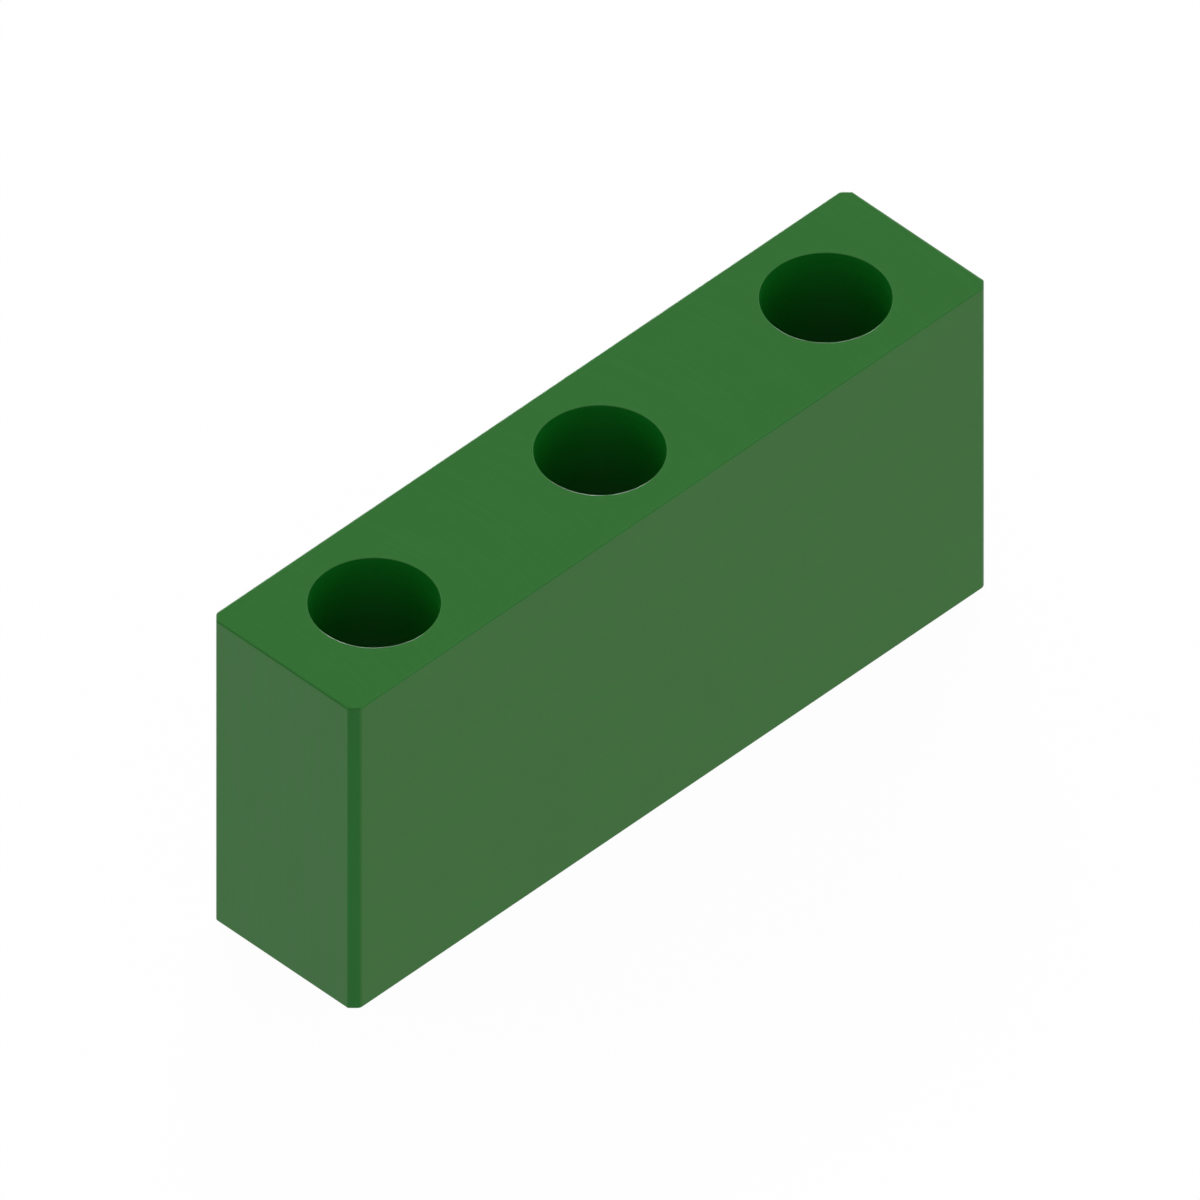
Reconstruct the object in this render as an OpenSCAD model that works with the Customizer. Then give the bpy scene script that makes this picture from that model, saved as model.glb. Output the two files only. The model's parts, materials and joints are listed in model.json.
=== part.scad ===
// Spacer block with a row of through holes.
// One solid machined block: it keeps two parts a set height apart, and bolts pass down its holes.
// The origin is at the centre of the foot, on the axis of the middle hole. +X runs along the row
// of holes, +Y across it, and +Z up the holes.

/* [Block] */
// Length along the row of holes
block_length = 100; // [92:0.5:200]
// Width across the row of holes
block_width = 22.6; // [20:0.2:60]
// Height, which is the gap that the block keeps
block_height = 45; // [10:0.5:120]

/* [Edges] */
// Leg of the chamfer down each upright corner
corner_chamfer = 1; // [0.5:0.1:3]
// Leg of the small break along the other edges and round the holes' mouths
edge_break = 0.15; // [0.05:0.05:0.5]

/* [Bolt holes] */
// Number of holes in the row
hole_count = 3; // [1:1:3]
// Diameter of each hole
hole_diameter = 14.8; // [6:0.1:18]
// Distance from one hole's centre to the next
hole_pitch = 35.5; // [22:0.5:39]

/* [Hidden] */
$fn = 96;

// Distance between two chamfers that face each other across the block
chamfer_span = (block_length + block_width - 2 * corner_chamfer) / sqrt(2);
// Half the length of each crossing bar, which runs well clear of the block at both ends
bar_reach = block_length + block_width;
// How far a hole's cutter runs past the faces
cutter_reach = 1;

// Section of a bar as wide as two facing sides are apart, with its four edges broken
module bar_section(span) {
    half = span / 2;
    polygon([
        [-half, edge_break],
        [-half + edge_break, 0],
        [half - edge_break, 0],
        [half, edge_break],
        [half, block_height - edge_break],
        [half - edge_break, block_height],
        [-half + edge_break, block_height],
        [-half, block_height - edge_break],
    ]);
}

// Level bar whose two upright sides are a pair of the block's facing sides
module crossing_bar(span, angle) {
    rotate([90, 0, angle])
        linear_extrude(2 * bar_reach, center = true)
            bar_section(span);
}

// Block before drilling: its ends, its flanks and its two pairs of chamfers, each a crossing bar
module blank() {
    facing_sides = [
        [block_length, 0],
        [block_width, 90],
        [chamfer_span, 45],
        [chamfer_span, -45],
    ];
    intersection_for(side = facing_sides)
        crossing_bar(side[0], side[1]);
}

// Cutter for one hole: a straight wall that flares by the edge break at each mouth
module hole_cutter() {
    wall = hole_diameter / 2;
    flare = wall + edge_break + cutter_reach;
    rotate_extrude()
        polygon([
            [0, -cutter_reach],
            [flare, -cutter_reach],
            [wall, edge_break],
            [wall, block_height - edge_break],
            [flare, block_height + cutter_reach],
            [0, block_height + cutter_reach],
        ]);
}

// The row of holes, centred on the block
module hole_row() {
    first = -hole_pitch * (hole_count - 1) / 2;
    for (i = [0 : hole_count - 1])
        translate([first + i * hole_pitch, 0, 0])
            hole_cutter();
}

// The finished block: the blank with its row of holes drilled through
module spacer_block() {
    color("#367036")
        difference() {
            blank();
            hole_row();
        }
}

spacer_block();
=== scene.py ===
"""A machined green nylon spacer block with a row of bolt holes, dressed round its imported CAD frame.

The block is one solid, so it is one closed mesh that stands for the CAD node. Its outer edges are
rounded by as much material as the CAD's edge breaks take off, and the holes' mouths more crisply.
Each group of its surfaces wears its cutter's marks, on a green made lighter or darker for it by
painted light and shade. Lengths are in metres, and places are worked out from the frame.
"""

import json
import logging
import math
from dataclasses import dataclass, field, replace
from enum import Enum
from typing import Any

import bmesh
import bpy
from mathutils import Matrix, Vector

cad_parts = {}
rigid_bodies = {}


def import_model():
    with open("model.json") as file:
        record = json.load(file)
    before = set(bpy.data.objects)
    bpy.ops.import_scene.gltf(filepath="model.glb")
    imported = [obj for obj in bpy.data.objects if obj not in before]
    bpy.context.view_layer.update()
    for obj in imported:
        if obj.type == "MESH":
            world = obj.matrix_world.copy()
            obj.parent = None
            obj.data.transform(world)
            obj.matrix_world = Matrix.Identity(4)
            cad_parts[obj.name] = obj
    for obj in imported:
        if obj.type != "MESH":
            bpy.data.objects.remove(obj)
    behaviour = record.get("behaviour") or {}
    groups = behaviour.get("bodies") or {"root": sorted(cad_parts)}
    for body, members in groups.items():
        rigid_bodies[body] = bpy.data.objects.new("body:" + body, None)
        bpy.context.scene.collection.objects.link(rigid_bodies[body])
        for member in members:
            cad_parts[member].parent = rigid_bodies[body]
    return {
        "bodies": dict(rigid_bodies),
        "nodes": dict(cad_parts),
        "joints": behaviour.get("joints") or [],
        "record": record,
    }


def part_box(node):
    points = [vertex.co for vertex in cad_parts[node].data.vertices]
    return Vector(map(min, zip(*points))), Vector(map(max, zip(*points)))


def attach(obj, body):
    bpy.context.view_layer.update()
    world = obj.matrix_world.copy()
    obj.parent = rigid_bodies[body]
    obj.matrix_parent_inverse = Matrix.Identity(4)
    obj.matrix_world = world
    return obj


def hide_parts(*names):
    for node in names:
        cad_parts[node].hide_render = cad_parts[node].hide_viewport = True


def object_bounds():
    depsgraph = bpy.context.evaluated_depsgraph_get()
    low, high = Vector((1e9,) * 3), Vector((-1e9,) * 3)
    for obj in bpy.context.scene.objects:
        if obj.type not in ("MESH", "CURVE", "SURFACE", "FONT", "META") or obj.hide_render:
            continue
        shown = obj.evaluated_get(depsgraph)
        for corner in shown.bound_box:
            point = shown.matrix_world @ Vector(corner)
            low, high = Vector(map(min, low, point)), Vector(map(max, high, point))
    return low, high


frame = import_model()
cad_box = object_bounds()

log = logging.getLogger("spacer")

BLOCK_NODE = "spacer_block"
BLOCK_PIECE = "machined_block"
BLOCK_BODY = "root"
UNFOLDED_MAP = "OFBake"
MILLIMETRE = 0.001

# Points closer than this lie on one face
TOUCHING = 0.01 * MILLIMETRE
# Levels of a soft pattern at its dark and at its light spots
PATTERN_DARK = 0.3
PATTERN_LIGHT = 0.7
NYLON_IOR = 1.5
WHITE = (1.0, 1.0, 1.0, 1.0)

Pair = tuple[float, float]
Triple = tuple[float, float, float]
OpaqueColour = tuple[float, float, float, float]


class Zone(Enum):
    """Groups of the block's surfaces, by how each was cut. Each group's green carries its own painted
    light or shade. The value is its material slot.
    """

    FACES = 0
    FLANKS = 1
    ENDS = 2
    BORES = 3
    CORNERS = 4
    LONG_EDGES = 5
    END_EDGES = 6
    MOUTHS = 7


# The block's sides, anticlockwise from the end that looks along +X, and the turn between them
SIDES = (Zone.ENDS, Zone.CORNERS, Zone.FLANKS, Zone.CORNERS) * 2
SIDE_TURN = math.tau / len(SIDES)


def heading_vector(heading: float) -> Vector:
    """Turns a heading seen from above, in radians, into a unit vector."""
    return Vector((math.cos(heading), math.sin(heading)))


def running_length(points: list[Vector]) -> list[float]:
    """Measures how far each point is along a line of points.

    Args:
        points: The points in order.

    Returns:
        The distance of each from the first.
    """
    lengths = [0.0]
    for here, there in zip(points, points[1:]):
        lengths.append(lengths[-1] + (there - here).length)
    return lengths


def add_object(name: str, data: bpy.types.ID) -> bpy.types.Object:
    """Puts a mesh, a lamp or a lens into the scene.

    Args:
        name: Name of the object.
        data: What the object shows.

    Returns:
        The object.
    """
    item = bpy.data.objects.new(name, data)
    bpy.context.scene.collection.objects.link(item)
    return item


@dataclass(frozen=True)
class BlockSizes:
    """Sizes of the block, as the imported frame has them.

    Attributes:
        length: Length along the row of holes.
        width: Width across the row.
        height: Height from the foot to the top.
        corner_leg: Leg of the chamfer down each upright corner.
        edge_leg: Leg of the small break along the other edges.
        bore_radius: Radius of each hole.
        bore_places: Place of each hole along the row.
    """

    length: float
    width: float
    height: float
    corner_leg: float
    edge_leg: float
    bore_radius: float
    bore_places: tuple[float, ...]

    @classmethod
    def from_frame(cls, packed: dict[str, Any]) -> "BlockSizes":
        """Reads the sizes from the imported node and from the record's mounts.


        Returns:
            The block's sizes.
        """
        low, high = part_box(BLOCK_NODE)
        points = [vertex.co for vertex in packed["nodes"][BLOCK_NODE].data.vertices]
        end_face = [point for point in points if high.x - point.x < TOUCHING]
        bores = [mount for mount in packed["record"]["mounts"] if mount["kind"] == "bore"]
        return cls(
            length=high.x - low.x,
            width=high.y - low.y,
            height=high.z - low.z,
            corner_leg=high.y - max(point.y for point in end_face),
            edge_leg=high.z - max(point.z for point in end_face),
            bore_radius=bores[0]["dims"]["r_mm"] * MILLIMETRE,
            bore_places=tuple(sorted(bore["pos_m"][0] for bore in bores)),
        )

    @property
    def edge_radius(self) -> float:
        """Radius of a rounding that takes off as much material as the CAD's edge break."""
        return self.edge_leg / math.sqrt(2 - math.pi / 2)

    @property
    def mouth_radius(self) -> float:
        """Radius of the crisp rounding round a hole's mouth, two thirds as wide as the break."""
        return self.edge_leg * 2 / 3


@dataclass(frozen=True)
class Row:
    """One level of an upright wall, between the foot's rim and the top's.

    Attributes:
        share: Share of the way up between the two roundings.
        lean: Angle by which the surface looks up from level, in radians.
    """

    share: float
    lean: float = 0.0

    @property
    def upright(self) -> bool:
        """Whether the row is clear of both roundings, or just where one starts."""
        return self.lean == 0.0


@dataclass(frozen=True)
class Station:
    """One stop on the way round a wall, seen from above.

    Attributes:
        centre: Centre of the curve that the surface follows.
        radius: Radius of that curve on the upright part of the wall.
        heading: Direction from the centre to the surface, in radians.
        rounding: Radius of the rounding where the wall meets the top and the foot.
        zone: Zone of the surface from this stop to the next.
    """

    centre: Pair
    radius: float
    heading: float
    rounding: float
    zone: Zone


@dataclass(frozen=True)
class Wall:
    """An upright wall that closes on itself: the outside of the block, or the wall of one hole.

    Attributes:
        stations: Stops round the wall, anticlockwise from above.
        rows: Levels from the foot's rim to the top's.
        height: Height of the whole wall.
        hollow: True for a hole, whose surface faces its own axis.
    """

    stations: list[Station]
    rows: list[Row]
    height: float
    hollow: bool = False

    @property
    def facing(self) -> int:
        """1 where the surface looks away from its curve's centre, and -1 in a hole."""
        return -1 if self.hollow else 1

    def rounded_zone(self, station: Station) -> Zone:
        """Names the zone of the roundings at the wall's top and foot.

        Args:
            station: Stop round the wall.

        Returns:
            The zone from this stop to the next.
        """
        if self.hollow:
            return Zone.MOUTHS
        return Zone.LONG_EDGES if station.zone is Zone.FLANKS else Zone.END_EDGES

    def point(self, station: Station, row: Row) -> Vector:
        """Finds a point of the wall.

        Args:
            station: Stop round the wall.
            row: Level of the wall.

        Returns:
            The point.
        """
        cut = station.rounding * (1 - math.cos(row.lean))
        place = Vector(station.centre) + heading_vector(station.heading) * (
            station.radius - self.facing * cut
        )
        upright = self.height - 2 * station.rounding
        rise = station.rounding * (1 + math.sin(row.lean)) + upright * row.share
        return place.to_3d() + Vector((0, 0, rise))

    def normal(self, station: Station, row: Row) -> Vector:
        """Finds the true surface's unit normal at a stop and a row of the wall."""
        level = heading_vector(station.heading) * self.facing * math.cos(row.lean)
        return level.to_3d() + Vector((0, 0, math.sin(row.lean)))

    def girth(self) -> list[float]:
        """Measures how far each stop is round the upright part, and last the whole way round."""
        stops = [self.point(station, Row(share=0.0)) for station in self.stations]
        return running_length(stops + stops[:1])

    def rise(self) -> list[float]:
        """Measures how far each row is up the wall's own section, roundings included."""
        return running_length([self.point(self.stations[0], row) for row in self.rows])


@dataclass(frozen=True)
class Patch:
    """Place of one flattened surface on the unfolded map.

    Attributes:
        corner: Lower left corner of the patch.
        sheet: Side of the whole square map.
        turned: Whether the surface lies a quarter turn round.
    """

    corner: Pair
    sheet: float
    turned: bool = False

    def spot(self, along: float, across: float) -> Pair:
        """Finds where a point of the flattened surface falls on the map, from 0 to 1 each way."""
        right, up = (across, along) if self.turned else (along, across)
        return (self.corner[0] + right) / self.sheet, (self.corner[1] + up) / self.sheet


@dataclass(frozen=True)
class Unfolding:
    """Lays the block's surfaces out flat on one square map, each at its real size.

    The outside wall lies in two rows with the walls of the holes in a third above them. The top
    and the foot stand on end beside them.

    Attributes:
        sizes: Sizes of the block.
        gap: Space left round each patch.
    """

    sizes: BlockSizes
    gap: float = 1.6 * MILLIMETRE

    @property
    def strip(self) -> float:
        """Length of half of the outside wall, with the chamfers counted as square corners."""
        return self.sizes.length + self.sizes.width

    @property
    def lift(self) -> float:
        """Distance from one row of walls to the next."""
        return self.sizes.height + self.gap

    @property
    def side(self) -> float:
        """Side of the square map, which its width sets."""
        return self.strip + 2 * self.sizes.width + 4 * self.gap

    def outside(self, half: int) -> Patch:
        """Gives the patch of one half of the outside wall, which is half 0 or half 1."""
        return Patch((self.gap, self.gap + half * self.lift), self.side)

    def bore(self, index: int) -> Patch:
        """Gives the patch of one hole's wall, by the hole's number along the row."""
        pitch = 2 * math.pi * self.sizes.bore_radius + self.gap
        return Patch((self.gap + index * pitch, self.gap + 2 * self.lift), self.side)

    def cap(self, index: int) -> Patch:
        """Gives the patch of the foot, whose index is 0, or of the top, whose index is 1."""
        left = self.strip + 2 * self.gap + index * (self.sizes.width + self.gap)
        return Patch((left, self.gap), self.side, turned=True)


@dataclass
class BlockBuilder:
    """Builds the block's closed mesh: its outside wall, the walls of its holes, its top and foot.

    Attributes:
        sizes: Sizes of the block.
        end_turn: Radius of the soft turn between a chamfer and an end.
        flank_turn: Radius of the softer turn between a chamfer and a flank.
        edge_steps: Faces across each rounded edge.
        turn_steps: Faces across each soft turn.
        bore_steps: Faces round each hole.
        spacing: Rough size of the faces along the flat sides.
        shape: The mesh as it grows.
        normals: The true surface's normal at each point, in the points' order.
        rims: Edges round the foot, under False, and round the top, under True.
    """

    sizes: BlockSizes
    end_turn: float = 0.4 * MILLIMETRE
    flank_turn: float = 0.8 * MILLIMETRE
    edge_steps: int = 6
    turn_steps: int = 6
    bore_steps: int = 128
    spacing: float = 3 * MILLIMETRE
    shape: bmesh.types.BMesh = field(default_factory=bmesh.new, init=False)
    normals: list[Vector] = field(default_factory=list, init=False)
    rims: dict[bool, list[bmesh.types.BMEdge]] = field(default_factory=dict, init=False)

    def rows(self) -> list[Row]:
        """Works out the levels of every wall, with a quarter round at the foot and at the top.

        Returns:
            The rows, from the foot's rim to the top's.
        """
        leans = [math.pi / 2 * step / self.edge_steps for step in range(self.edge_steps + 1)]
        count = round(self.sizes.height / self.spacing)
        foot = [Row(share=0.0, lean=-lean) for lean in reversed(leans)]
        middle = [Row(share=step / count) for step in range(1, count)]
        top = [Row(share=1.0, lean=lean) for lean in leans]
        return foot + middle + top

    def turns(self) -> list[Station]:
        """Works out the soft turns between the sides, each where it leaves the side before it.

        Returns:
            One turn before each of the sides, in their order.
        """
        half_length = self.sizes.length / 2
        half_width = self.sizes.width / 2
        inner_length = half_length - self.sizes.corner_leg
        inner_width = half_width - self.sizes.corner_leg
        # Each side starts at the corner of the same number
        corners = [(half_length, -inner_width), (half_length, inner_width),
                   (inner_length, half_width), (-inner_length, half_width),
                   (-half_length, inner_width), (-half_length, -inner_width),
                   (-inner_length, -half_width), (inner_length, -half_width)]
        rounding = self.sizes.edge_radius
        turns = []
        for number, corner in enumerate(corners):
            before, side = SIDES[number - 1], SIDES[number]
            radius = self.flank_turn if Zone.FLANKS in (before, side) else self.end_turn
            heading = (number - 1) * SIDE_TURN
            setback = heading_vector(heading + SIDE_TURN / 2) * radius / math.cos(SIDE_TURN / 2)
            centre = Vector(corner) - setback
            turns.append(Station(tuple(centre), radius, heading, rounding, before))
        return turns

    def outline(self) -> list[Station]:
        """Works out the stops round the outside: eight sides with a soft turn before each.

        Each half of a turn wears the finish of the side that it is nearer to.

        Returns:
            The stops, anticlockwise from the turn before the end that looks along +X.
        """
        turns = self.turns()
        stations = []
        for turn, following, side in zip(turns, turns[1:] + turns[:1], SIDES):
            for step in range(self.turn_steps):
                heading = turn.heading + SIDE_TURN * step / self.turn_steps
                zone = turn.zone if step < self.turn_steps / 2 else side
                stations.append(replace(turn, heading=heading, zone=zone))
            flat = replace(turn, heading=turn.heading + SIDE_TURN, zone=side)
            shift = heading_vector(flat.heading) * (following.radius - flat.radius)
            run = Vector(following.centre) + shift - Vector(flat.centre)
            count = max(1, round(run.length / self.spacing))
            for share in [step / count for step in range(count)]:
                place = Vector(flat.centre) + run * share
                stations.append(replace(flat, centre=tuple(place)))
        return stations

    def circle(self, place: float) -> list[Station]:
        """Works out the stops round one hole.

        Args:
            place: Place of the hole's axis along the row.

        Returns:
            The stops, anticlockwise from +X.
        """
        turn = math.tau / self.bore_steps
        radius = self.sizes.bore_radius
        rounding = self.sizes.mouth_radius
        return [Station((place, 0.0), radius, step * turn, rounding, Zone.BORES)
                for step in range(self.bore_steps)]

    def add_wall(self, wall: Wall, patches: list[Patch]) -> None:
        """Adds a wall's points, faces and place on the unfolded map.

        Args:
            wall: The wall.
            patches: Patches that share the wall's length equally between them.
        """
        unfolded = self.shape.loops.layers.uv[UNFOLDED_MAP]
        grid = []
        for row in wall.rows:
            grid.append([self.shape.verts.new(wall.point(stop, row)) for stop in wall.stations])
            self.normals += [wall.normal(stop, row) for stop in wall.stations]
        along, up = wall.girth(), wall.rise()
        share = along[-1] / len(patches)
        for level, (low, high) in enumerate(zip(wall.rows, wall.rows[1:])):
            plain = low.upright and high.upright
            for stop, station in enumerate(wall.stations):
                following = (stop + 1) % len(wall.stations)
                start, end = along[stop], along[stop + 1]
                corners = [(level, stop, start), (level, following, end),
                           (level + 1, following, end), (level + 1, stop, start)]
                if wall.hollow:
                    corners.reverse()
                face = self.shape.faces.new([grid[line][column] for line, column, _ in corners])
                face.smooth = True
                zone = station.zone if plain else wall.rounded_zone(station)
                face.material_index = zone.value
                part = min(int((start + end) / 2 / share), len(patches) - 1)
                for loop, (line, _, far) in zip(face.loops, corners):
                    loop[unfolded].uv = patches[part].spot(far - part * share, up[line])
        for is_top, ring in ((False, grid[0]), (True, grid[-1])):
            pairs = zip(ring, ring[1:] + ring[:1])
            self.rims.setdefault(is_top, []).extend(self.shape.edges.get(pair) for pair in pairs)

    def add_cap(self, is_top: bool, patch: Patch) -> None:
        """Fills in the top or the foot, between the outside wall's rim and the holes' mouths.

        Args:
            is_top: True for the top and False for the foot.
            patch: The face's patch on the unfolded map.
        """
        unfolded = self.shape.loops.layers.uv[UNFOLDED_MAP]
        facing = Vector((0, 0, 1 if is_top else -1))
        filled = bmesh.ops.triangle_fill(
            self.shape, edges=self.rims[is_top], use_beauty=True, normal=facing
        )
        faces = [item for item in filled["geom"] if isinstance(item, bmesh.types.BMFace)]
        for face in faces:
            if face.normal.dot(facing) < 0:
                face.normal_flip()
            face.smooth = True
            face.material_index = Zone.FACES.value
            for loop in face.loops:
                along = loop.vert.co.x + self.sizes.length / 2
                across = loop.vert.co.y + self.sizes.width / 2
                loop[unfolded].uv = patch.spot(along, across)

    def build(self) -> bpy.types.Object:
        """Builds the whole mesh and gives it the true surface's normals.

        Returns:
            The block's object, at the origin, with its place in its mesh.
        """
        plan = Unfolding(self.sizes)
        self.shape.loops.layers.uv.new(UNFOLDED_MAP)
        rows = self.rows()
        height = self.sizes.height
        self.add_wall(Wall(self.outline(), rows, height), [plan.outside(0), plan.outside(1)])
        for index, place in enumerate(self.sizes.bore_places):
            self.add_wall(Wall(self.circle(place), rows, height, hollow=True), [plan.bore(index)])
        self.add_cap(False, plan.cap(0))
        self.add_cap(True, plan.cap(1))
        mesh = bpy.data.meshes.new(BLOCK_PIECE)
        self.shape.to_mesh(mesh)
        self.shape.free()
        mesh.normals_split_custom_set_from_vertices(self.normals)
        return add_object(BLOCK_PIECE, mesh)


@dataclass(frozen=True)
class ToolMarks:
    """Fine streaks that a cutter leaves, finer across its travel than along it.

    Attributes:
        density: Streaks in a metre along X, Y and Z.
        sweep: Radius of the face mill whose arcs the streaks follow, or 0 for straight ones.
        detail: How many finer layers the streaks have.
    """

    density: Triple
    sweep: float = 0.0
    detail: float = 3.0


@dataclass(frozen=True)
class Mottle:
    """Soft variation of the cast nylon itself, under the marks of every cutter.

    Attributes:
        cloud_density: Clouds in a metre.
        cloud_detail: How many finer layers the clouds have.
        cloud_share: How much of the mottle the clouds make. The grain makes the rest.
        grain_density: Grains in a metre.
        grain_detail: How many finer layers the grain has.
    """

    cloud_density: float = 150.0
    cloud_detail: float = 2.0
    cloud_share: float = 0.6
    grain_density: float = 2600.0
    grain_detail: float = 1.0


@dataclass(frozen=True)
class NylonFinish:
    """Cast green nylon with the marks of one cutter on it.

    Attributes:
        name: Name of the material.
        marks: The cutter's streaks.
        colour: Colour of the nylon, lighter or darker for its zone by painted light and shade.
        roughness: Mean roughness of the surface.
        mark_share: How much of the colour's variation the streaks make.
        shade: How much darker and lighter than the colour the surface gets.
        polish: How far the roughness moves each way.
        depth: Depth of the streaks.
        gloss: Specular level.
        mottle: Variation under the streaks.
    """

    name: str
    marks: ToolMarks
    colour: Triple
    roughness: float = 0.4
    gloss: float = 0.3
    mark_share: float = 0.55
    shade: float = 0.09
    polish: float = 0.05
    depth: float = 0.006 * MILLIMETRE
    mottle: Mottle = Mottle()

    def shaded(self, amount: float) -> OpaqueColour:
        """Makes the colour lighter by an amount, or darker where the amount is below 0."""
        red, green, blue = (channel * (1 + amount) for channel in self.colour)
        return red, green, blue, 1.0

    def mottled(
        self,
        bench: "NodeBench",
        place: bpy.types.NodeSocket,
        streaks: bpy.types.NodeSocket,
    ) -> bpy.types.NodeSocket:
        """Adds the nylon's own clouds and grain to the cutter's streaks.

        Args:
            bench: The material's nodes.
            place: The place in metres.
            streaks: The streaks' pattern.

        Returns:
            The whole pattern of the colour.
        """
        mottle = self.mottle
        clouds = bench.noise(bench.scaled(place, (mottle.cloud_density,) * 3), mottle.cloud_detail)
        grain = bench.noise(bench.scaled(place, (mottle.grain_density,) * 3), mottle.grain_detail)
        rest = 1 - self.mark_share
        return bench.weighed([
            (streaks, self.mark_share),
            (clouds, rest * mottle.cloud_share),
            (grain, rest * (1 - mottle.cloud_share)),
        ])

    def make(self) -> bpy.types.Material:
        """Lays out the finish's nodes.

        Returns:
            The material.
        """
        bench = NodeBench(self.name)
        place = bench.add("ShaderNodeTexCoord").outputs["Object"]
        streaks = bench.noise(bench.along_cut(place, self.marks), self.marks.detail)
        shade = self.mottled(bench, place, streaks)
        colour = bench.blend(shade, self.shaded(-self.shade), self.shaded(self.shade))
        rough = bench.ranged(streaks, self.roughness - self.polish, self.roughness + self.polish)
        bump = bench.add("ShaderNodeBump")
        bump.inputs["Distance"].default_value = self.depth
        bench.link(streaks, bump.inputs["Height"])
        shader = bench.add("ShaderNodeBsdfPrincipled")
        shader.inputs["IOR"].default_value = NYLON_IOR
        shader.inputs["Specular IOR Level"].default_value = self.gloss
        bench.link(colour, shader.inputs["Base Color"])
        bench.link(rough, shader.inputs["Roughness"])
        bench.link(bump.outputs["Normal"], shader.inputs["Normal"])
        return bench.output(shader)


class NodeBench:
    """Lays out and joins the nodes of one material or world."""

    def __init__(self, name: str, world: bpy.types.World | None = None) -> None:
        """Starts an empty material, or empties a world.

        Args:
            name: Name of the material.
            world: World to work on in place of a material.
        """
        self.holder = world or bpy.data.materials.new(name)
        self.holder.use_nodes = True
        self.tree = self.holder.node_tree
        self.tree.nodes.clear()

    def add(self, kind: str, **settings: Any) -> bpy.types.Node:
        """Adds a node.

        Args:
            kind: Blender's name for the kind of node.
            **settings: Its properties.

        Returns:
            The node.
        """
        node = self.tree.nodes.new(kind)
        for name, value in settings.items():
            setattr(node, name, value)
        return node

    def link(self, source: bpy.types.NodeSocket, target: bpy.types.NodeSocket) -> None:
        """Joins two sockets."""
        self.tree.links.new(source, target)

    def maths(self, operation: str, *values: float | bpy.types.NodeSocket) -> bpy.types.NodeSocket:
        """Adds a sum.

        Args:
            operation: Blender's name for it.
            *values: Numbers or sockets that it works on.

        Returns:
            The result.
        """
        node = self.add("ShaderNodeMath", operation=operation)
        for socket, value in zip(node.inputs, values):
            if isinstance(value, bpy.types.NodeSocket):
                self.link(value, socket)
            else:
                socket.default_value = value
        return node.outputs[0]

    def scaled(self, place: bpy.types.NodeSocket, density: Triple) -> bpy.types.NodeSocket:
        """Stretches a place so that one unit is one mark.

        Args:
            place: The place in metres.
            density: Marks in a metre along X, Y and Z.

        Returns:
            The stretched place.
        """
        node = self.add("ShaderNodeVectorMath", operation="MULTIPLY")
        self.link(place, node.inputs[0])
        node.inputs[1].default_value = density
        return node.outputs[0]

    def along_cut(self, place: bpy.types.NodeSocket, marks: ToolMarks) -> bpy.types.NodeSocket:
        """Stretches a place along a cutter's travel, and along its arcs if it sweeps.

        Args:
            place: The place in metres.
            marks: The cutter's marks.

        Returns:
            The place counted in marks.
        """
        if not marks.sweep:
            return self.scaled(place, marks.density)
        parts = self.add("ShaderNodeSeparateXYZ")
        self.link(place, parts.inputs[0])
        across = self.maths("POWER", self.maths("ABSOLUTE", parts.outputs["Y"]), 2.0)
        arc = self.maths("SQRT", self.maths("SUBTRACT", marks.sweep**2, across))
        swept = self.add("ShaderNodeCombineXYZ")
        self.link(self.maths("SUBTRACT", parts.outputs["X"], arc), swept.inputs["X"])
        self.link(parts.outputs["Y"], swept.inputs["Y"])
        self.link(parts.outputs["Z"], swept.inputs["Z"])
        return self.scaled(swept.outputs[0], marks.density)

    def noise(self, place: bpy.types.NodeSocket, detail: float) -> bpy.types.NodeSocket:
        """Adds a soft random pattern.

        Args:
            place: Place counted in marks.
            detail: How many finer layers it has.

        Returns:
            The pattern, spread about 0.5.
        """
        node = self.add("ShaderNodeTexNoise")
        node.inputs["Scale"].default_value = 1.0
        node.inputs["Detail"].default_value = detail
        self.link(place, node.inputs["Vector"])
        return node.outputs[0]

    def weighed(self, patterns: list[tuple[bpy.types.NodeSocket, float]]) -> bpy.types.NodeSocket:
        """Adds patterns up, each by its share.

        Args:
            patterns: Each pattern with its share. The shares add up to 1.

        Returns:
            The sum, spread about 0.5.
        """
        total: bpy.types.NodeSocket | float = 0.0
        for pattern, share in patterns:
            total = self.maths("MULTIPLY_ADD", pattern, share, total)
        return total

    def ranged(
        self,
        pattern: bpy.types.NodeSocket,
        low: float,
        high: float,
    ) -> bpy.types.NodeSocket:
        """Spreads the middle of a pattern over a range of numbers.

        Args:
            pattern: The pattern.
            low: Number at its dark spots.
            high: Number at its light ones.

        Returns:
            The number at each place.
        """
        node = self.add("ShaderNodeMapRange")
        self.link(pattern, node.inputs["Value"])
        node.inputs["From Min"].default_value = PATTERN_DARK
        node.inputs["From Max"].default_value = PATTERN_LIGHT
        node.inputs["To Min"].default_value = low
        node.inputs["To Max"].default_value = high
        return node.outputs["Result"]

    def blend(
        self,
        pattern: bpy.types.NodeSocket,
        dark: OpaqueColour,
        light: OpaqueColour,
    ) -> bpy.types.NodeSocket:
        """Colours a pattern.

        Args:
            pattern: The pattern.
            dark: Colour of its dark spots.
            light: Colour of its light ones.

        Returns:
            The colour at each place.
        """
        node = self.add("ShaderNodeValToRGB")
        first, last = node.color_ramp.elements
        first.position, first.color = PATTERN_DARK, dark
        last.position, last.color = PATTERN_LIGHT, light
        self.link(pattern, node.inputs["Fac"])
        return node.outputs["Color"]

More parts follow.
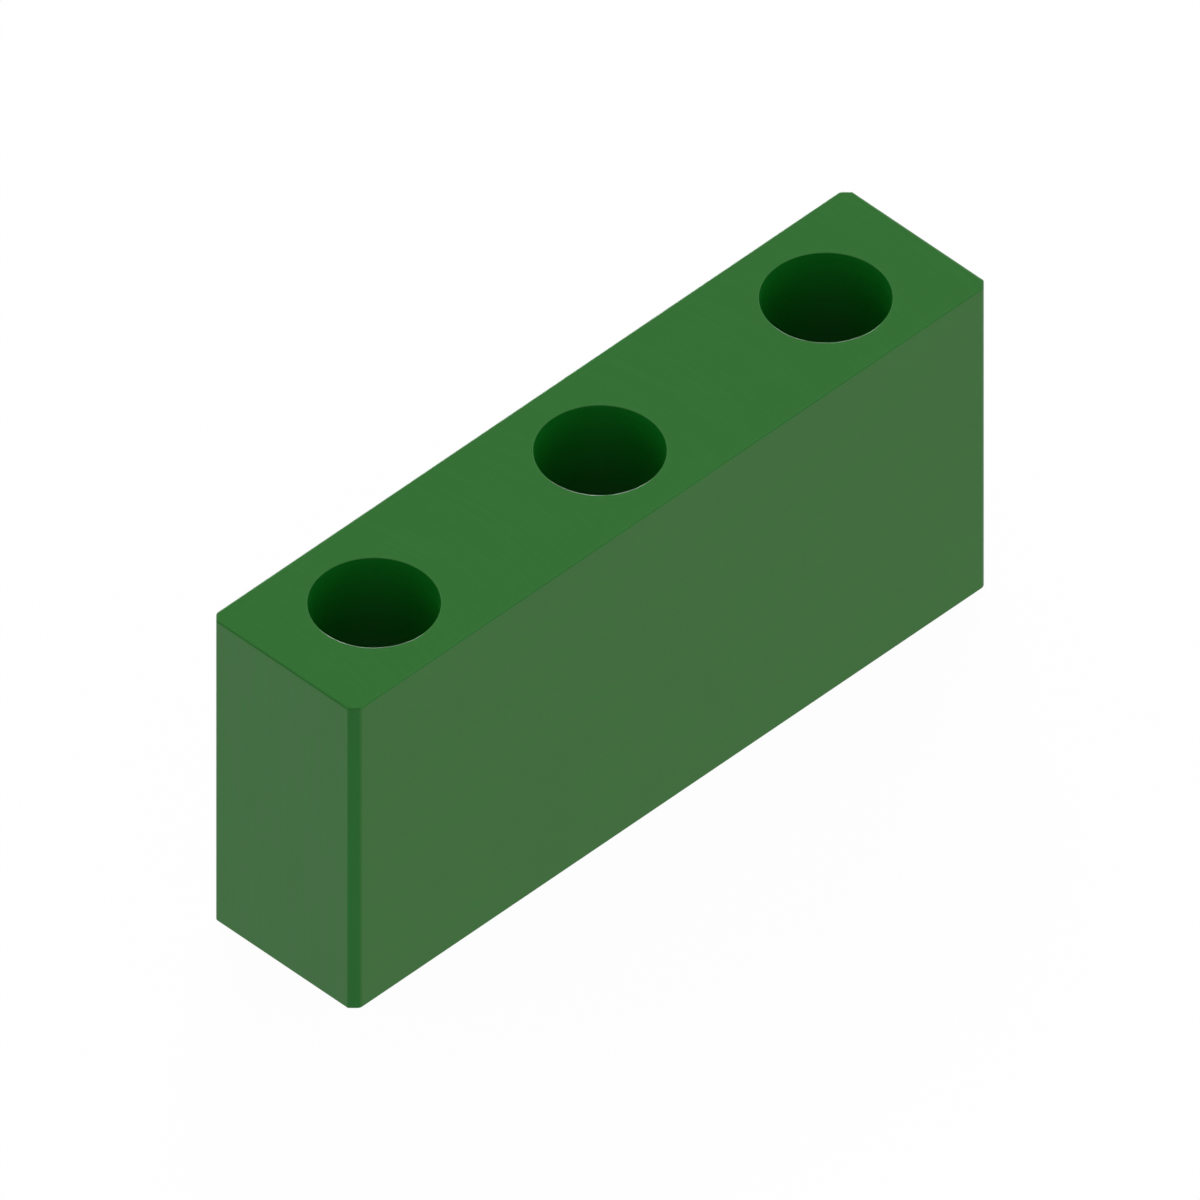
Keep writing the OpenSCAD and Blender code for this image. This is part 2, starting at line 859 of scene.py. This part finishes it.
    def seen(self) -> bpy.types.NodeSocket:
        """Tells rays of the camera, of gloss and of glass, which see the background, from the rest.

        Returns:
            1 for such a ray and 0 for one that carries light to the block's own colour.
        """
        rays = self.add("ShaderNodeLightPath").outputs
        shiny = self.maths("MAXIMUM", rays["Is Glossy Ray"], rays["Is Transmission Ray"])
        return self.maths("MAXIMUM", rays["Is Camera Ray"], shiny)

    def white(self, kind: str, strength: float | None = None) -> bpy.types.Node:
        """Adds a plain white shader.

        Args:
            kind: Blender's name for the kind of shader.
            strength: How brightly it glows, or None for one that only reflects.

        Returns:
            The shader.
        """
        shader = self.add(kind)
        shader.inputs["Color"].default_value = WHITE
        if strength is not None:
            shader.inputs["Strength"].default_value = strength
        return shader

    def mixed(
        self,
        share: float | bpy.types.NodeSocket,
        first: bpy.types.Node,
        second: bpy.types.Node,
    ) -> bpy.types.Node:
        """Mixes two shaders.

        Args:
            share: Share of the second.
            first: Shader at share 0.
            second: Shader at share 1.

        Returns:
            The mixing node.
        """
        node = self.add("ShaderNodeMixShader")
        if isinstance(share, bpy.types.NodeSocket):
            self.link(share, node.inputs[0])
        else:
            node.inputs[0].default_value = share
        self.link(first.outputs[0], node.inputs[1])
        self.link(second.outputs[0], node.inputs[2])
        return node

    def output(self, shader: bpy.types.Node) -> bpy.types.Material | bpy.types.World:
        """Ends the layout with its shader.

        Args:
            shader: The last shader.

        Returns:
            The finished material or world.
        """
        kind = "World" if isinstance(self.holder, bpy.types.World) else "Material"
        end = self.add(f"ShaderNodeOutput{kind}")
        self.link(shader.outputs[0], end.inputs["Surface"])
        return self.holder


@dataclass
class SpacerBlock:
    """The machined block: one piece that stands for the CAD node.

    Attributes:
        sizes: Sizes of the block.
        mill_reach: Radius of the face mill, as a share of the block's width.
    """

    sizes: BlockSizes
    mill_reach: float = 1.6

    def finishes(self) -> dict[Zone, NylonFinish]:
        """Chooses the finish of each zone: the marks of the cutter that made it, on a green with the
        zone's painted light or shade.

        Returns:
            One finish for each zone.
        """
        face_mill = ToolMarks(density=(1500, 25, 25), sweep=self.mill_reach * self.sizes.width)
        planer = ToolMarks(density=(22, 1600, 1600))
        saw = ToolMarks(density=(1700, 1700, 40))
        drill = ToolMarks(density=(60, 60, 2600))
        chamfer_mill = ToolMarks(density=(900, 900, 90))
        return {
            Zone.FACES: NylonFinish(
                "nylon_faced",
                face_mill,
                colour=(0.0048, 0.1305, 0.0048),
                roughness=0.25,
                gloss=0.193,
                shade=0.045,
                polish=0.01,
                depth=0.0015 * MILLIMETRE,
            ),
            # Painted sheen: the flanks' green has its red raised and its blue lowered, a tint of the
            # lamps' light on that side.
            Zone.FLANKS: NylonFinish(
                "nylon_planed_painted_sheen",
                planer,
                colour=(0.0071, 0.134, 0.0010),
                gloss=0.279,
                polish=0.03,
                depth=0.003 * MILLIMETRE,
            ),
            # Painted sheen: the ends' green has its red and blue raised, a greyish tint of the light
            # on that side.
            Zone.ENDS: NylonFinish("nylon_sawn_painted_sheen", saw, colour=(0.0110, 0.134, 0.0085), gloss=0.283),
            # Painted light: the holes' walls are a lighter green than the faces, to lift the shade
            # inside the bores.
            Zone.BORES: NylonFinish(
                "nylon_bored_painted_light", drill, colour=(0.0035, 0.161, 0.0115), gloss=0.2
            ),
            # Painted sheen: the chamfers' green has its blue raised, a tint of the light on them.
            Zone.CORNERS: NylonFinish(
                "nylon_chamfered_painted_sheen", chamfer_mill, colour=(0.0045, 0.136, 0.0110), gloss=0.215
            ),
            # Painted light: the roundings along the flanks are a lighter green than the faces, to
            # fill the shade along them.
            Zone.LONG_EDGES: NylonFinish(
                "nylon_long_edge_painted_light",
                chamfer_mill,
                colour=(0.0055, 0.147, 0.0055),
                roughness=0.35,
                gloss=0.38,
            ),
            # Painted shade: the roundings along the ends and chamfers are a darker green than the
            # faces, for a dark line along them.
            Zone.END_EDGES: NylonFinish(
                "nylon_end_edge_painted_shade",
                chamfer_mill,
                colour=(0.0048, 0.126, 0.0048),
                roughness=0.35,
                gloss=0.28,
            ),
            # Painted light: the holes' mouth roundings are a lighter green than the faces, under the
            # strip lamp's real gloss on them.
            Zone.MOUTHS: NylonFinish(
                "nylon_mouth_painted_light",
                chamfer_mill,
                colour=(0.0048, 0.145, 0.0048),
                roughness=0.12,
                gloss=0.38,
                polish=0.01,
                depth=0.0005 * MILLIMETRE,
            ),
        }

    def make(self) -> bpy.types.Object:
        """Builds the block, dresses it and ties it to the frame.

        Returns:
            The block's object.
        """
        piece = BlockBuilder(self.sizes).build()
        finishes = self.finishes()
        for zone in Zone:
            piece.data.materials.append(finishes[zone].make())
        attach(piece, BLOCK_BODY)
        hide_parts(BLOCK_NODE)
        return piece


@dataclass(frozen=True)
class Direction:
    """A direction from the block, as the frame's views count it.

    Attributes:
        azimuth: Degrees round from -Y, with +X at 90.
        elevation: Degrees above level.
    """

    azimuth: float
    elevation: float

    def vector(self) -> Vector:
        """Works the direction out in X, Y and Z.

        Returns:
            The unit vector from the block.
        """
        azimuth = math.radians(self.azimuth)
        elevation = math.radians(self.elevation)
        level = math.cos(elevation)
        return Vector((math.sin(azimuth) * level, -math.cos(azimuth) * level, math.sin(elevation)))

    def place(self, item: bpy.types.Object, target: Vector, distance: float) -> None:
        """Sets a camera or lamp off in this direction, looking back at the target.

        Args:
            item: The camera or lamp.
            target: Point that it looks at.
            distance: How far off it stands.
        """
        item.rotation_mode = "QUATERNION"
        item.location = target + self.vector() * distance
        item.rotation_quaternion = (-self.vector()).to_track_quat("-Z", "Y")


@dataclass(frozen=True)
class SoftLamp:
    """A wide, far lamp of the studio, which lights the block and doesn't show in its gloss.

    Attributes:
        name: Name of the lamp.
        toward: Direction in which it hangs.
        strength: Light that it throws square on, in watts to the square metre.
        spread: Angle that it fills, in degrees.
    """

    name: str
    toward: Direction
    strength: float
    spread: float

    def make(self, target: Vector, distance: float) -> None:
        """Hangs the lamp.

        Args:
            target: Point that it looks at.
            distance: How far off it hangs.
        """
        light = bpy.data.lights.new(self.name, "SUN")
        light.energy = self.strength
        light.angle = math.radians(self.spread)
        lamp = add_object(self.name, light)
        lamp.visible_glossy = False
        self.toward.place(lamp, target, distance)


@dataclass(frozen=True)
class StripLamp:
    """A long, level, oval lamp that shows only in the block's gloss, where it lines the near rims.

    Attributes:
        name: Name of the lamp.
        toward: Direction in which it hangs.
        power: Its power in watts.
        width: Length of the strip.
        height: Height of the strip.
    """

    name: str
    toward: Direction
    power: float
    width: float
    height: float

    def make(self, target: Vector, distance: float) -> None:
        """Hangs the lamp.

        Args:
            target: Point that it looks at.
            distance: How far off it hangs.
        """
        light = bpy.data.lights.new(self.name, "AREA")
        light.energy = self.power
        light.shape = "ELLIPSE"
        light.size = self.width
        light.size_y = self.height
        lamp = add_object(self.name, light)
        lamp.visible_camera = False
        lamp.visible_diffuse = False
        self.toward.place(lamp, target, distance)


@dataclass(frozen=True)
class Studio:
    """A plain white studio: floor, surroundings, soft lamps and the camera.

    Attributes:
        camera_view: Direction of the camera from the block.
        picture_width: Width of the picture at the block.
        distance: How far off the camera and the lamps stand.
        fill: Strength of the surroundings as light on the block.
        backdrop: Strength at which the surroundings and the floor are seen, where 1 is white.
        floor_size: Side of the floor.
        floor_glow: Light that the floor sends up, the same all over.
        shadow_share: Share of the real shadow in the floor's look.
        floor_gap: How far the floor lies under the foot.
    """

    camera_view: Direction = Direction(azimuth=-45.10, elevation=42.32)
    picture_width: float = 133.16 * MILLIMETRE
    distance: float = 1.0
    fill: float = 0.58
    backdrop: float = 1.0
    floor_size: float = 8.0
    floor_glow: float = 0.8
    shadow_share: float = 0.03
    floor_gap: float = 0.02 * MILLIMETRE

    def lamps(self) -> list[SoftLamp | StripLamp]:
        """Chooses the lamps: a strong one behind the block, weak ones beside it and the strip.

        Returns:
            The lamps.
        """
        front = self.camera_view.azimuth
        back, left, right = front + 180, front - 90, front + 90
        return [
            SoftLamp("back_lamp", Direction(back, elevation=35), strength=1.9, spread=30),
            SoftLamp("left_lamp", Direction(left, elevation=10), strength=0.34, spread=40),
            SoftLamp("right_lamp", Direction(right, elevation=10), strength=0.34, spread=40),
            StripLamp(
                "strip_lamp", Direction(back, elevation=6), power=8.5, width=0.55, height=0.1
            ),
        ]

    def make_surroundings(self) -> None:
        """Makes the white surroundings, which light the block at a plain level."""
        world = bpy.data.worlds.new("studio_white")
        bpy.context.scene.world = world
        bench = NodeBench("studio_white", world)
        lighting = bench.white("ShaderNodeBackground", self.fill)
        backdrop = bench.white("ShaderNodeBackground", self.backdrop)
        bench.output(bench.mixed(bench.seen(), lighting, backdrop))
        world.cycles.sampling_method = "NONE"

    def make_floor(self) -> None:
        """Lays the pale floor, which shows white with a faint shadow on it."""
        half = self.floor_size / 2
        corners = [(-half, -half), (half, -half), (half, half), (-half, half)]
        mesh = bpy.data.meshes.new("studio_floor")
        mesh.from_pydata([(x, y, -self.floor_gap) for x, y in corners], [], [(0, 1, 2, 3)])
        bench = NodeBench("floor_white")
        lighting = bench.white("ShaderNodeEmission", self.floor_glow)
        shadowed = bench.white("ShaderNodeBsdfDiffuse")
        plain = bench.white("ShaderNodeEmission", self.backdrop)
        look = bench.mixed(self.shadow_share, plain, shadowed)
        finish = bench.output(bench.mixed(bench.seen(), lighting, look))
        finish.cycles.emission_sampling = "NONE"
        mesh.materials.append(finish)
        floor = add_object("studio_floor", mesh)

    def make_camera(self, target: Vector) -> None:
        """Sets up the camera, which sees the block without perspective.

        Args:
            target: Point that it looks at.
        """
        lens = bpy.data.cameras.new("studio_camera")
        lens.type = "ORTHO"
        lens.ortho_scale = self.picture_width
        camera = add_object("studio_camera", lens)
        self.camera_view.place(camera, target, self.distance)
        bpy.context.scene.camera = camera

    def make(self, target: Vector) -> None:
        """Makes the whole studio round the block.

        Args:
            target: Middle of the block.
        """
        self.make_surroundings()
        self.make_floor()
        self.make_camera(target)
        for lamp in self.lamps():
            lamp.make(target, self.distance)
        bpy.context.scene.view_settings.view_transform = "Standard"


def main() -> None:
    """Builds the block and its studio, and reports each piece."""
    logging.basicConfig(level=logging.INFO, format="%(name)s: %(message)s")
    sizes = BlockSizes.from_frame(frame)
    block = SpacerBlock(sizes).make()
    log.info("%s has %d faces", block.name, len(block.data.polygons))
    log.info("edges rounded to %.3f mm", sizes.edge_radius / MILLIMETRE)
    Studio().make(target=(cad_box[0] + cad_box[1]) / 2)


if __name__ == "__main__":
    main()
